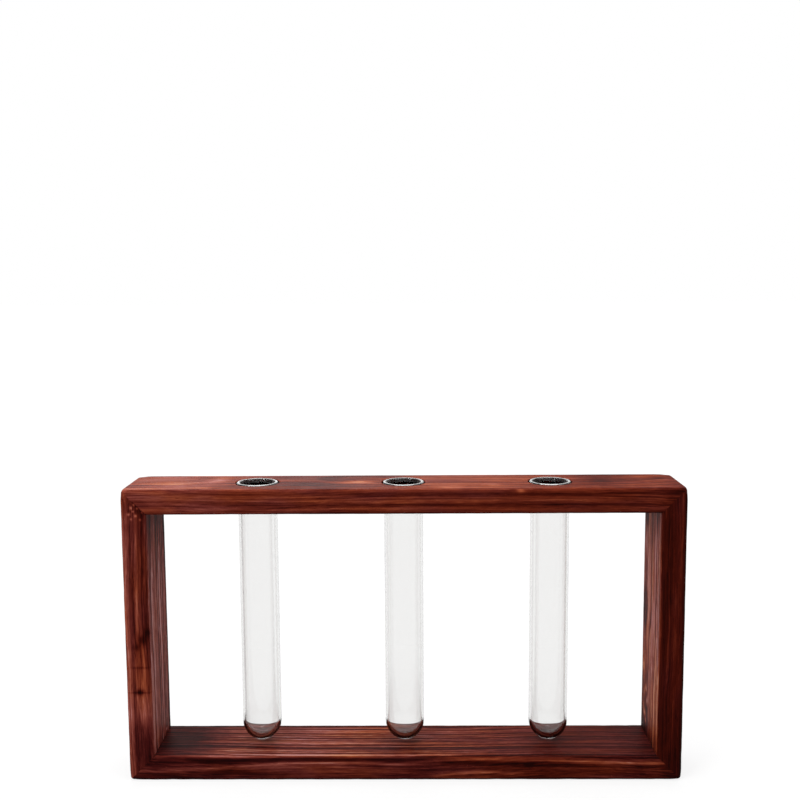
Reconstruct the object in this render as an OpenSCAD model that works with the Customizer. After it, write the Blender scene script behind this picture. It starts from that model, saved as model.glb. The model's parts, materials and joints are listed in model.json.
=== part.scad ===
// Tube vase: a mitred wooden frame with three glass tubes that hang by their beads.
// Origin: middle of the footprint, on the surface that the frame stands on. +X right, +Y back, +Z up.

/* [Frame] */
// Width of the frame, outside
frame_w = 308; // [260:1:400]
// Depth of the boards, front to back
frame_d = 43; // [36:0.5:80]
// Thickness of the boards
board_t = 14; // [10:0.5:20]
// Radius of the frame's outer corners, seen from the front
corner_r = 2.2; // [2:0.1:5]
// Radius of the sanded edges along the boards
arris_r = 1.8; // [0.5:0.1:1.9]

/* [Tubes] */
// Outside diameter of a tube
tube_od = 22; // [16:0.5:26]
// Length of a tube, from its round end to the top of its bead
tube_l = 150; // [100:1:200]
// Thickness of a tube's wall
tube_wall = 1.2; // [0.8:0.1:2]
// Thickness of the glass at the middle of the round end
tube_end_t = 2.4; // [1:0.1:4]
// How far the bead stands out from the tube's side
bead_out = 0.6; // [0.4:0.05:1]
// Distance between the middles of neighbouring tubes
tube_pitch = 82; // [50:0.5:100]
// Space under a hanging tube
tube_end_gap = 1.6; // [1:0.1:5]

/* [Holes in the top board] */
// Space all round a tube in its hole
hole_clear = 0.2; // [0.1:0.05:0.4]
// Depth of the countersink that the bead hangs in
sink_depth = 1.4; // [1.1:0.05:2]
// Size of the sanded edge at the underside of a hole
hole_ease = 0.6; // [0.2:0.1:1]
// Space between the bead and the countersink
seat_clear = 0.05; // [0.02:0.01:0.1]

/* [Pins] */
// Diameter of a panel pin
pin_d = 1.4; // [1:0.1:2]
// Length of a panel pin, head and point included
pin_l = 25; // [20:0.5:40]
// Diameter of a pin's head
pin_head_d = 2.4; // [2.2:0.1:3.2]
// Thickness of a pin's head at its rim
pin_head_t = 0.5; // [0.3:0.1:1]
// Length of the taper under a pin's head
pin_neck_l = 0.7; // [0.4:0.1:1.5]
// Length of a pin's point
pin_point_l = 2.2; // [1.5:0.1:4]
// Depth of a pin's head below the wood
pin_sunk = 0.4; // [0.2:0.1:1]
// Distance from the front or back of the frame to a pin
pin_inset = 11; // [7:0.5:15]
// Space all round a pin in the wood
pin_clear = 0.05; // [0.02:0.01:0.1]

/* [Hidden] */
$fn = 96;

// How far a cut runs past the surface that it opens
over = 1;

// Sides of the frame, and turns
left = -1;
middle = 0;
right = 1;
front = -1;
back = 1;
top = 1;
bottom = 0;
quarter_turn = 90;
half_turn = 180;

// Tube and bead
tube_r = tube_od / 2;
bore_r = tube_r - tube_wall;
bead_r = (tube_wall + bead_out) / 2;
bead_ring_r = bore_r + bead_r;

// The bead rests on the 45 degree side of the countersink, so its height follows from both
hole_r = tube_r + hole_clear;
bead_middle_below_top = sink_depth + hole_r - bead_ring_r - (bead_r + seat_clear) * sqrt(2);
bead_proud = bead_r - bead_middle_below_top;

// The frame is as tall as a hanging tube needs
frame_h = board_t + tube_end_gap + tube_l - bead_proud;
tube_bottom_z = board_t + tube_end_gap;

// Pins lie in the middle of the top and bottom boards' thickness
pin_y = frame_d / 2 - pin_inset;
pin_from_edge = board_t / 2;

// A rectangle with its middle at the origin and rounded corners
module rounded_rectangle(width, height, radius) {
    square([width - 2 * radius, height], center = true);
    square([width, height - 2 * radius], center = true);
    for (x = [-1, 1], y = [-1, 1])
        translate([x * (width / 2 - radius), y * (height / 2 - radius)])
            circle(radius);
}

// A straight length of sanded board along X, with its middle at the origin
module board_length(length) {
    rotate([quarter_turn, 0, quarter_turn])
        linear_extrude(length, center = true)
            rounded_rectangle(frame_d, board_t, arris_r);
}

// The rounded outer corner of the frame: a post along Y whose rims have the boards' sanded edge
module corner_post() {
    rotate([quarter_turn, 0, 0])
        rotate_extrude()
            intersection() {
                rounded_rectangle(2 * corner_r, frame_d, arris_r);
                translate([0, -frame_d / 2 - over])
                    square([corner_r + over, frame_d + 2 * over]);
            }
}

// The space between two 45 degree mitres, for a board along X whose outer face is at z = 0
module mitre_wedge(length) {
    reach = board_t + over;
    rotate([quarter_turn, 0, 0])
        linear_extrude(frame_d + 2 * over, center = true)
            polygon([
                [-length / 2 - over, over],
                [length / 2 + over, over],
                [length / 2 - reach, -reach],
                [-length / 2 + reach, -reach]
            ]);
}

// A mitred board along X with its outer face up, at z = 0
module mitred_board(length) {
    intersection() {
        union() {
            translate([0, 0, -board_t / 2])
                board_length(length - 2 * corner_r);
            for (side = [left, right])
                translate([side * (length / 2 - corner_r), 0, -corner_r])
                    corner_post();
        }
        mitre_wedge(length);
    }
}

// Side boards stand on end, with their outer face to the left or right
module side_board(side) {
    difference() {
        translate([side * frame_w / 2, 0, frame_h / 2])
            rotate([0, side * quarter_turn, 0])
                mitred_board(frame_h);
        for (depth = [front, back], level = [top, bottom])
            pin_place(side, depth, level)
                pin_hole();
    }
}

// A hole for a tube, countersunk for its bead and eased underneath
module tube_hole() {
    translate([0, 0, frame_h - board_t - over])
        cylinder(r = hole_r, h = board_t + 2 * over);
    translate([0, 0, frame_h - sink_depth])
        cylinder(r1 = hole_r, r2 = hole_r + sink_depth + over, h = sink_depth + over);
    translate([0, 0, frame_h - board_t - over])
        cylinder(r1 = hole_r + hole_ease + over, r2 = hole_r, h = hole_ease + over);
}

// A pin along X, driven towards the middle of the frame from x = 0, where its head is.
// Extra is added all round it for the hole that it fits.
module pin_shape(extra = 0, mouth = 0) {
    shank_r = pin_d / 2 + extra;
    head_r = pin_head_d / 2 + extra;
    rotate([0, quarter_turn, 0])
        rotate_extrude()
            polygon([
                [0, -mouth],
                [head_r, -mouth],
                [head_r, pin_head_t],
                [shank_r, pin_head_t + pin_neck_l],
                [shank_r, pin_l - pin_point_l],
                [0, pin_l + extra]
            ]);
}

// The hole that a pin makes, open to the outside of the side board
module pin_hole() {
    pin_shape(extra = pin_clear, mouth = pin_sunk + over);
}

// Puts a pin in one of the four corners, at the front or the back
module pin_place(side, depth, level) {
    height = level == top ? frame_h - pin_from_edge : pin_from_edge;
    translate([side * (frame_w / 2 - pin_sunk), depth * pin_y, height])
        rotate([0, 0, side == right ? half_turn : 0])
            children();
}

module top_board() {
    color([0.47, 0.19, 0.14])
        difference() {
            translate([0, 0, frame_h])
                mitred_board(frame_w);
            for (place = [left, middle, right])
                translate([place * tube_pitch, 0, 0])
                    tube_hole();
            for (side = [left, right], depth = [front, back])
                pin_place(side, depth, top)
                    pin_hole();
        }
}

module bottom_board() {
    color([0.36, 0.13, 0.11])
        difference() {
            mirror([0, 0, 1])
                mitred_board(frame_w);
            for (side = [left, right], depth = [front, back])
                pin_place(side, depth, bottom)
                    pin_hole();
        }
}

module left_board() {
    color([0.42, 0.16, 0.12])
        side_board(left);
}

module right_board() {
    color([0.30, 0.10, 0.09])
        side_board(right);
}

// Half of a tube's section: wall, round end and bead
module tube_section() {
    difference() {
        union() {
            translate([0, tube_r])
                circle(tube_r);
            translate([0, tube_r])
                square([tube_r, tube_l - bead_r - tube_r]);
            translate([bead_ring_r, tube_l - bead_r])
                circle(bead_r);
        }
        translate([0, tube_end_t + bore_r])
            circle(bore_r);
        translate([0, tube_end_t + bore_r])
            square([bore_r, tube_l]);
        translate([-tube_od, -over])
            square([tube_od, tube_l + 2 * over]);
    }
}

module tube(place) {
    color([0.86, 0.93, 0.92, 0.4])
        translate([place * tube_pitch, 0, tube_bottom_z])
            rotate_extrude()
                tube_section();
}

module pin(side, depth, level) {
    color([0.62, 0.60, 0.57])
        pin_place(side, depth, level)
            pin_shape();
}

top_board();
bottom_board();
left_board();
right_board();
tube(left);  // tube_left
tube(middle);  // tube_middle
tube(right);  // tube_right
pin(left, front, top);  // pin_top_left_front
pin(left, back, top);  // pin_top_left_back
pin(right, front, top);  // pin_top_right_front
pin(right, back, top);  // pin_top_right_back
pin(left, front, bottom);  // pin_bottom_left_front
pin(left, back, bottom);  // pin_bottom_left_back
pin(right, front, bottom);  // pin_bottom_right_front
pin(right, back, bottom);  // pin_bottom_right_back
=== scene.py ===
"""Dressed model of a tube vase: a mitred frame of stained boards with three hanging glass tubes."""

import json
import math
from dataclasses import dataclass

import bpy
import numpy as np
from bpy.props import FloatProperty, FloatVectorProperty, PointerProperty
from mathutils import Matrix, Vector


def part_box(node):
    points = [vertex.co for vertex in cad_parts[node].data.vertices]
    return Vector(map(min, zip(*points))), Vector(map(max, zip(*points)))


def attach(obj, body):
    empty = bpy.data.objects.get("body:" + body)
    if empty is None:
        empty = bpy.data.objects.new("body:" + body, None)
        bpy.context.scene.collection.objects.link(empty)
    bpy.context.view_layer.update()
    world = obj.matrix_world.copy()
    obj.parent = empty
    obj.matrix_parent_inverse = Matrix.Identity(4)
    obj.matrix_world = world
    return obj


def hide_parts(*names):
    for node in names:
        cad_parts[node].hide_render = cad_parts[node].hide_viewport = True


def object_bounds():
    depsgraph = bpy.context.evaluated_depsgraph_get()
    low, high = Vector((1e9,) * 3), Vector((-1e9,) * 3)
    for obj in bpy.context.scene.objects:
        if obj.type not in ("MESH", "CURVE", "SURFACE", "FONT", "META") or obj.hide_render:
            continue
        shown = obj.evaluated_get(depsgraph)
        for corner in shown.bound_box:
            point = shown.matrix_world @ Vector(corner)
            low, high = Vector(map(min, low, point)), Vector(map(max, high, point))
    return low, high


bl_info = {
    "name": "Tube Vase",
    "version": (1, 0, 0),
    "blender": (4, 5, 0),
    "location": "3D View > Sidebar > Tube Vase",
    "description": "Builds a wooden tube vase round its packed CAD frame",
    "category": "Object",
}

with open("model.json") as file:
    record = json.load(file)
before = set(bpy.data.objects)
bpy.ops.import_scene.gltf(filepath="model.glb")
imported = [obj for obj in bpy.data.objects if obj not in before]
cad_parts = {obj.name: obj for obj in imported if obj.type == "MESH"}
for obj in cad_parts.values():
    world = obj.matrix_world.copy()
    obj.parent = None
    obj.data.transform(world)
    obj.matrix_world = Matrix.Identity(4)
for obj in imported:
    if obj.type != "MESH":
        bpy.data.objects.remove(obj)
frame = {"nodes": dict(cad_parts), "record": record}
CAD_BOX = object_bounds()

# Meshes are worked out in millimetres and written in metres
MM = 0.001


def middle_of(name, axis):
    """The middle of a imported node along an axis, in millimetres."""
    low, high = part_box(name)
    return (low[axis] + high[axis]) / 2 / MM


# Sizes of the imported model, in millimetres
WIDTH = (CAD_BOX[1].x - CAD_BOX[0].x) / MM
DEPTH = (CAD_BOX[1].y - CAD_BOX[0].y) / MM
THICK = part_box("bottom_board")[1].z / MM
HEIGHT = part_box("top_board")[1].z / MM
HALF_W, HALF_D, HALF_H = WIDTH / 2, DEPTH / 2, HEIGHT / 2
FRONT = -HALF_D
TUBE_LOW, TUBE_HIGH = (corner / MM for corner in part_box("tube_middle"))
TUBE_BODIES = {"tube_left": "left_tube", "tube_middle": "middle_tube", "tube_right": "right_tube"}
TUBE_PLACES = {name: middle_of(name, 0) for name in TUBE_BODIES}
BORE_R = next(m["dims"]["r_mm"] for m in frame["record"]["mounts"] if m["name"] == "tube_middle_bore")
PIN_ACROSS = middle_of("pin_top_left_back", 1)
PIN_LEVEL = middle_of("pin_bottom_left_back", 2)
PIN_COUNT = 8


# Settings


def display(red, green, blue):
    """A colour as it looks on screen, 0 to 255, turned into the linear values that materials take."""
    parts = [c / 255 for c in (red, green, blue)]
    return tuple(c / 12.92 if c <= 0.04045 else ((c + 0.055) / 1.055) ** 2.4 for c in parts)


def length(name, about, default, low, high):
    return FloatProperty(name=name, description=about, default=default, min=low, max=high, unit="LENGTH")


def colour(name, about, default):
    return FloatVectorProperty(name=name, description=about, default=default, subtype="COLOR", min=0, max=1)


def number(name, about, default, low, high, subtype="NONE"):
    return FloatProperty(name=name, description=about, default=default, min=low, max=high, subtype=subtype)


def angle(name, about, degrees):
    return FloatProperty(name=name, description=about, default=math.radians(degrees), subtype="ANGLE")


class BoardSettings(bpy.types.PropertyGroup):
    """Sizes and stain of the four boards."""

    arris: length("Sanded edge", "Radius of the edges along the boards", 0.0018, 0.0005, 0.003)
    corner_top: length("Upper corners", "Radius of the frame's upper corners", 0.0016, 0.001, 0.0039)
    corner_bottom: length("Lower corners", "Radius of the frame's lower corners", 0.0019, 0.001, 0.0039)
    hole: length("Hole radius", "Radius of a tube's hole in the top board", 0.0112, 0.008, 0.014)
    sink: length("Countersink", "Depth of the countersink that a bead hangs in", 0.0014, 0.0005, 0.003)
    grain_depth: length("Grain depth", "How far the soft wood lies below the hard lines", 0.00008, 0, 0.0005)
    stain_rubbed: colour("Rubbed stain", "Where the stain is worn nearly through", display(198, 137, 114))
    stain_light: colour("Light stain", "Where the stain is thin", display(158, 80, 56))
    stain_middle: colour("Middle stain", "Most of the wood", display(108, 42, 29))
    stain_dark: colour("Dark stain", "Where the wood drank more stain", display(68, 17, 11))
    # Besides knots and cracks, this colour is the painted shade in the frame's inner corners
    stain_black: colour("Darkest stain", "Knots, cracks and corners", display(30, 5, 4))


class TubeSettings(bpy.types.PropertyGroup):
    """Sizes and glass of the three tubes."""

    radius: length("Tube radius", "Outer radius of a tube below its bead", 0.011, 0.008, 0.013)
    bottom: length("Round end", "Thickness of the glass at the middle of the round end", 0.0024, 0.001, 0.004)
    waver: length("Waver", "How far the drawn glass strays from a true tube", 0.00004, 0, 0.0003)
    tint: colour("Glass", "Colour of the glass", (0.905, 0.903, 0.899))
    # Painted shade: the glass takes this darker colour where it is seen edge on
    edge: colour("Glass edge", "Colour of the glass where it is seen edge on", (0.42, 0.41, 0.40))
    # This colour is the painted highlight along the top of the bead
    rim: colour("Rim", "Colour of the milky skin on the bead", (0.86, 0.86, 0.85))
    ior: number("Refraction", "Refractive index of the glass", 1.47, 1.3, 1.7)


class PinSettings(bpy.types.PropertyGroup):
    """Finish of the panel pins."""

    steel: colour("Steel", "Bare wire", (0.42, 0.40, 0.37))
    tarnish: colour("Tarnish", "Stained and rusted spots", (0.12, 0.055, 0.03))


class StageSettings(bpy.types.PropertyGroup):
    """Camera and light."""

    camera_place: FloatVectorProperty(
        name="Camera", description="Where the camera stands",
        default=(0.00516, -0.5832, 0.2771), subtype="TRANSLATION", unit="LENGTH", precision=4,
    )
    camera_pitch: angle("Pitch", "The camera's tilt from straight down", 83.565)
    camera_turn: angle("Turn", "The camera's turn to the left", 0.669)
    camera_roll: angle("Roll", "The camera's roll about its own axis", -0.366)
    lens: number("Lens", "Focal length on a 36 mm sensor", 47.52, 10, 200)
    key_power: number("Key light", "Softbox at the upper left", 5.4, 0, 100, "POWER")
    top_power: number("Top light", "Softbox overhead", 5.6, 0, 100, "POWER")
    fill_power: number("Fill light", "Weak light at the right", 1.2, 0, 100, "POWER")
    back_power: number("Back light", "Weak light at the back", 1.1, 0, 100, "POWER")
    ambient: number("Ambient", "Light that comes from all round", 0.42, 0, 2)


# Shader expressions


class Net:
    """A node tree under construction."""

    def __init__(self, owner):
        owner.use_nodes = True
        self.tree = owner.node_tree
        self.tree.nodes.clear()

    def node(self, kind, settings=None, output=0, **inputs):
        """Adds a node and gives one of its outputs. Its settings come first, and then its sockets, named
        in lower case or by their place as n0, n1 and so on."""
        made = self.tree.nodes.new(kind)
        for name, value in (settings or {}).items():
            if name == "stops":
                self.fill_ramp(made.color_ramp, value)
            elif name == "curve":
                made.color_ramp.interpolation = value
            else:
                setattr(made, name, value)
        for name, value in inputs.items():
            socket = self.find(made, name)
            if isinstance(value, Wire):
                self.tree.links.new(value.socket, socket)
            else:
                socket.default_value = value
        return Wire(self, made.outputs[output])

    def find(self, made, name):
        """The input called name, or the one at a place such as n1."""
        if name[0] == "n" and name[1:].isdigit():
            return made.inputs[int(name[1:])]
        wanted = name.replace("_", " ")
        return next(s for s in made.inputs if s.name.lower() == wanted and s.enabled)

    def fill_ramp(self, ramp, stops):
        """Sets a ramp's stops, each a place from 0 to 1 and a colour or a grey."""
        ramp.elements.remove(ramp.elements[-1])
        ramp.elements[0].position = stops[0][0]
        for place, _ in stops[1:]:
            ramp.elements.new(place)
        for element, (_, shade) in zip(ramp.elements, stops):
            grey = isinstance(shade, (int, float))
            element.color = (*([shade] * 3 if grey else shade), 1)

    def maths(self, operation, *values, clamp=False):
        inputs = {f"n{i}": value for i, value in enumerate(values)}
        return self.node("ShaderNodeMath", {"operation": operation, "use_clamp": clamp}, **inputs)

    def vector(self, operation, *values, output=0):
        inputs = {f"n{i}": value for i, value in enumerate(values)}
        return self.node("ShaderNodeVectorMath", {"operation": operation}, output, **inputs)

    def combine(self, x, y, z):
        return self.node("ShaderNodeCombineXYZ", x=x, y=y, z=z)

    def noise(self, place, scale, detail=2.0, roughness=0.5, shift=0.0):
        """Noise from 0 to 1 with its own scale along each axis, per millimetre."""
        moved = self.vector("MULTIPLY_ADD", place, Vector(scale), Vector((shift, shift * 1.7, shift * 0.6)))
        return self.node("ShaderNodeTexNoise", vector=moved, scale=1.0, detail=detail, roughness=roughness)

    def ramp(self, value, stops, curve="LINEAR"):
        return self.node("ShaderNodeValToRGB", {"stops": stops, "curve": curve}, fac=value)

    def mix(self, factor, first, second, how="MIX"):
        """Colour between first and second, or first with second laid over it in another way."""
        settings = {"data_type": "RGBA", "blend_type": how}
        return self.node("ShaderNodeMix", settings, 2, n0=factor, n6=first, n7=second)

    def millimetres(self):
        """The place on the piece, in millimetres."""
        place = self.node("ShaderNodeTexCoord", output="Object")
        return self.node("ShaderNodeVectorMath", {"operation": "SCALE"}, n0=place, scale=1 / MM)

    def step(self, value, low, high):
        """0 below low, 1 above high, and smooth between them."""
        settings = {"interpolation_type": "SMOOTHSTEP"}
        return self.node("ShaderNodeMapRange", settings, value=value, from_min=low, from_max=high)

    def bump(self, height, strength, distance):
        return self.node("ShaderNodeBump", strength=strength, distance=distance, height=height)

    def finish(self, shader, kind="ShaderNodeOutputMaterial"):
        """Ends the tree in its output."""
        made = self.tree.nodes.new(kind)
        self.tree.links.new(shader.socket, made.inputs["Surface"])


class Wire:
    """A socket in an expression: arithmetic on it adds Math nodes."""

    def __init__(self, net, socket):
        self.net = net
        self.socket = socket

    def __add__(self, other):
        return self.net.maths("ADD", self, other)

    def __sub__(self, other):
        return self.net.maths("SUBTRACT", self, other)

    def __rsub__(self, other):
        return self.net.maths("SUBTRACT", other, self)

    def __mul__(self, other):
        return self.net.maths("MULTIPLY", self, other)

    def __truediv__(self, other):
        return self.net.maths("DIVIDE", self, other)

    def __rtruediv__(self, other):
        return self.net.maths("DIVIDE", other, self)

    def __pow__(self, other):
        return self.net.maths("POWER", self, other)

    def __rpow__(self, other):
        return self.net.maths("POWER", other, self)

    def __neg__(self):
        return self.net.maths("MULTIPLY", self, -1.0)

    def __abs__(self):
        return self.net.maths("ABSOLUTE", self)

    __radd__ = __add__
    __rmul__ = __mul__

    def clamped(self):
        return self.net.maths("ADD", self, 0.0, clamp=True)

    def parts(self, kind="ShaderNodeSeparateXYZ"):
        """The three parts of a vector or a colour."""
        made = self.net.node(kind, n0=self).socket.node
        return [Wire(self.net, socket) for socket in made.outputs]


def apply(value, operation, function):
    """The same function of a number, an array or a wire, so that colour and relief agree."""
    return value.net.maths(operation, value) if isinstance(value, Wire) else function(value)


def sine(value):
    return apply(value, "SINE", np.sin)


def root(value):
    return apply(value, "SQRT", np.sqrt)


def bell(value):
    """1 where value is 0, falling off smoothly as value, a square, grows."""
    return apply(-1 * value, "EXPONENT", np.exp)


def fraction(value):
    return apply(value, "FRACT", lambda count: count - np.floor(count))


# Boards


@dataclass
class Grain:
    """How a board was cut from its tree, and the tones that the photograph shows on it: its stain, with
    painted shade and highlights along some edges and in the inner corners. Places and sizes are in
    millimetres. Tones are in percent, from 0, rubbed, to 100, nearly black."""

    pith: tuple  # place of the tree's middle, across the board
    ring: float  # width of a growth ring
    waves: list  # (swing, length, start) of each wave along the grain
    knots: list  # (s, p, v, reach along, reach across, push)
    edge: list  # tone along the front and back edges: (s, tone)
    # The inner tone of most boards nears black at the ends: painted shade in the inner corners
    outer: list  # tone along the outer face
    inner: list  # tone along the inner face
    patches: list  # (s, p, v, reach s, reach p, reach v, tone)
    front_streaks: list  # (width, (s, v, tone), ...) of each streak on the front edge
    wax: list  # how waxed the outer face is, in percent: (s, wax)
    inner_wax: float  # the same anywhere on the inner face
    joints: tuple  # how much darker the mitre is at the low and the high end, in percent
    rings: tuple  # how plainly growth rings show on the edges, the outer face and the inner face
    fibres: tuple  # how plainly the finer grain shows there
    cast: list  # how plum, over 50, or how orange, under it: (s, cast)
    inner_cast: list  # the same on the inner face
    seed: float  # moves the noise, so that no two boards are alike
    inner_streaks: tuple = ()  # (width, (s, p, tone), ...) of each streak on the inner face
    vivid: tuple = ((0, 100),)  # how plainly all grain shows on the inner face, in percent: (s, share)


@dataclass
class Board:
    """A board of the frame, with its own coordinates in millimetres: s along it from its middle,
    p from front to back, and v inward from its outer face."""

    name: str
    along: str  # the frame's axis that the board runs along
    face: float  # where its outer face is on the other axis
    sign: int  # which way is inward there
    length: float
    middle: float
    grain: Grain

    def own(self, x, y, z):
        """Board coordinates of a place in the frame: numbers, arrays or wires."""
        far, across = (x, z) if self.along == "x" else (z, x)
        return far - self.middle, y, (across - self.face) * self.sign

    def placed(self, s, p, v):
        """Frame coordinates of a place in the board."""
        far, across = s + self.middle, self.face + v * self.sign
        return np.stack([far, p, across] if self.along == "x" else [across, p, far], axis=-1)


# The grain strays less from front to back than it does inward
SIDE_STRAY = 0.6


def wander(s, grain):
    """How far the grain strays sideways at s."""
    return sum(swing * sine(s * (2 * math.pi / span) + start) for swing, span, start in grain.waves)


def ring_count(s, p, v, grain):
    """Growth rings between the tree's middle and a place in the board."""
    stray = wander(s, grain)
    across = p - grain.pith[0] + stray * SIDE_STRAY
    up = v - grain.pith[1] + stray
    radius = root(across * across + up * up)
    for at, across_at, up_at, reach, spread, push in grain.knots:
        square = ((s - at) / reach) * ((s - at) / reach)
        square = square + ((p - across_at) / spread) * ((p - across_at) / spread)
        square = square + ((v - up_at) / spread) * ((v - up_at) / spread)
        radius = radius + bell(square) * push
    return radius / grain.ring + sine(radius * 0.83) * 0.22 + sine(radius * 0.31 + 1.0) * 0.4

TOP_GRAIN = Grain(
    pith=(9, 74), ring=2.3, waves=[(0.7, 260, 0.4), (0.3, 121, 2.1), (0.08, 43, 0.7)],
    knots=[(-128, FRONT, 4, 12, 5, 0.8), (62, 4, 0, 16, 6, -1.0)],
    edge=[
        (-154, 58), (-130, 53), (-110, 56), (-40, 63), (60, 63), (120, 66), (135, 69), (142, 78), (147, 86),
        (154, 88),
    ],
    outer=[
        (-154, 48), (-140, 40), (-125, 38), (-105, 46), (-80, 60), (-58, 67), (-36, 67), (0, 52), (25, 47),
        (53, 48), (80, 56), (109, 71), (125, 64), (136, 58), (146, 64), (154, 74),
    ],
    inner=[(-154, 75), (0, 66), (154, 78)],
    patches=[
        (-106, 7, 0, 6, 7, 3, -26), (-25, 0, 0, 9, 4, 2, -50), (138, 14, 0, 9, 5, 3, -18),
        (-50, -8, 0, 14, 6, 3, 16), (-68, 14, 0, 9, 5, 3, 10), (-8, 14, 0, 8, 5, 3, 12),
        (25, -15, 0, 7, 5, 3, -16), (48, -9, 0, 6, 4, 3, -14), (-128, -4, 0, 9, 5, 3, -14),
        (63.5, FRONT, 1.3, 2.6, 2, 1.1, -42), (110, 2, 0, 10, 9, 3, 10), (-95, -12, 0, 8, 4, 3, 12),
    ],
    front_streaks=[
        (0.9, (-140, 1.8, 0), (-110, 1.8, 8), (-60, 2, 6), (-20, 3.2, 12), (40, 3, 12), (150, 2.6, 10)),
        (0.6, (-150, 5, -5), (-80, 6.6, -10), (-20, 6.8, -12), (60, 6.2, -8), (150, 6.5, -4)),
        (0.8, (-150, 9, 3), (-80, 8.2, 7), (-20, 8.9, 10), (40, 9, 10), (150, 8.6, 5)),
        (0.6, (-150, 11, -6), (0, 10.9, -10), (150, 10.8, -4)),
        (0.4, (-150, 4, -6), (-90, 3.4, -8), (-30, 4.6, -10), (30, 4.4, -6), (150, 4, -4)),
        # Painted shade: a dark line along the lower front edge, which faces down
        (0.8, (-150, 13.7, 22), (150, 13.7, 22)),
        (0.45, (-100, 11.6, 0), (-85, 11, 12), (-60, 9.6, 12), (-40, 8.2, 0)),
        (0.5, (-150, 0.4, 0), (0, 0.4, 3), (150, 0.4, -3)),
    ],
    wax=[(-154, 10), (-80, 10), (-50, 18), (-10, 16), (50, 12), (100, 4), (154, 3)],
    inner_wax=4, joints=(16, 0), rings=(0.08, 0.28, 0.3), fibres=(0.72, 1.2, 1.2), seed=3.0,
    cast=[(-154, 53), (-60, 48), (0, 42), (80, 36), (154, 34)],
    inner_cast=[(0, 50)],
)

BOTTOM_GRAIN = Grain(
    pith=(-75, 6), ring=3.5, waves=[(1.3, 260, 2.6), (0.6, 131, 0.3), (0.1, 47, 1.9)],
    knots=[
        (68, FRONT, 9, 7, 4, 0.8), (-40, 6, 14, 24, 8, 0.9), (-112, -10, 14, 32, 13, -3.4),
        (36, 12, 14, 42, 10, 2.4),
    ],
    edge=[
        (-154, 76), (-140, 79), (-110, 79), (-75, 78), (-40, 75), (10, 77), (40, 73), (90, 70), (120, 69),
        (141, 74), (149, 90),
    ],
    outer=[(-154, 80), (0, 70), (154, 80)],
    inner=[
        (-154, 95), (-140, 90), (-120, 84), (-104, 68), (-80, 56), (-40, 56), (0, 62), (40, 66), (80, 70),
        (120, 75), (140, 84), (154, 95),
    ],
    patches=[
        (-98, -14, 14, 12, 6, 3, -22), (68.5, FRONT, 9.4, 2.2, 3, 1.0, 45), (-118, 0, 14, 14, 16, 4, 10),
    ],
    front_streaks=[
        (1.1, (-146, 5.2, -10), (-114, 6.8, -22), (-81, 9.6, -26), (-42, 10.4, -24), (-10, 10.2, -20),
         (20, 8, 0)),
        (2.6, (-90, 6, 0), (-75, 6.5, -12), (-40, 7, -16), (-5, 6, -10), (10, 6, 0)),
        (1.0, (-12, 9.2, 0), (0, 10.0, -20), (25, 12.2, -30), (50, 12.4, -26), (80, 11.2, -24),
         (106, 10.6, -30), (138, 10.0, -34), (144, 10.0, -24), (147, 10.0, 0)),
        (1.6, (-150, 10.5, 0), (-137, 11, 14), (-100, 12, 20), (-20, 12.8, 14), (0, 12, 14), (60, 9.4, 8)),
        (0.9, (10, 2.5, 0), (20, 3, -20), (40, 5.2, -28), (62, 4.4, -18), (80, 4.2, 0)),
        # Painted shade: a dark line along the upper front edge, on its right half
        (0.6, (0, 13, 0), (12, 14, 20), (60, 14.2, 24), (90, 13.4, 24), (146, 12.8, 26)),
        (1.5, (20, 8.6, 0), (50, 9, 5), (90, 7.6, 4), (140, 6.6, 3)),
        # Painted shade: a dark line along the lower front edge, beside the floor
        (0.8, (-154, 0.5, 30), (154, 0.5, 30)),
        (1.2, (-150, 2.5, 5), (-100, 3, 10), (-60, 4, 6), (0, 3, 4)),
        # Painted highlight along the upper front edge, on its left half
        (0.7, (-150, 13.9, -5), (-118, 13.9, -20), (-90, 13.9, -30), (-8, 13.9, -26), (10, 13.9, 0)),
    ],
    inner_streaks=[
        # Painted highlight on the inner face's front edge at the left, painted shade at the right
        (1.8, (-140, -20.8, 0), (-112, -20.6, -22), (-80, -20.8, -30), (0, -20.4, -26), (24, -19.6, -12),
         (40, -20.4, 10), (146, -20.4, 12)),
    ],
    wax=[(0, 4)],
    inner_wax=7, joints=(2, 1), rings=(0.12, 0.3, 0.84), fibres=(0.95, 1.0, 1.5), seed=11.0,
    vivid=[(-154, 35), (-124, 50), (-98, 95), (10, 100), (50, 70), (90, 45), (154, 35)],
    cast=[(-154, 62), (-100, 66), (-40, 52), (40, 46), (154, 50)],
    inner_cast=[(-154, 66), (-90, 60), (-20, 52), (60, 56), (154, 66)],
)

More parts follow.
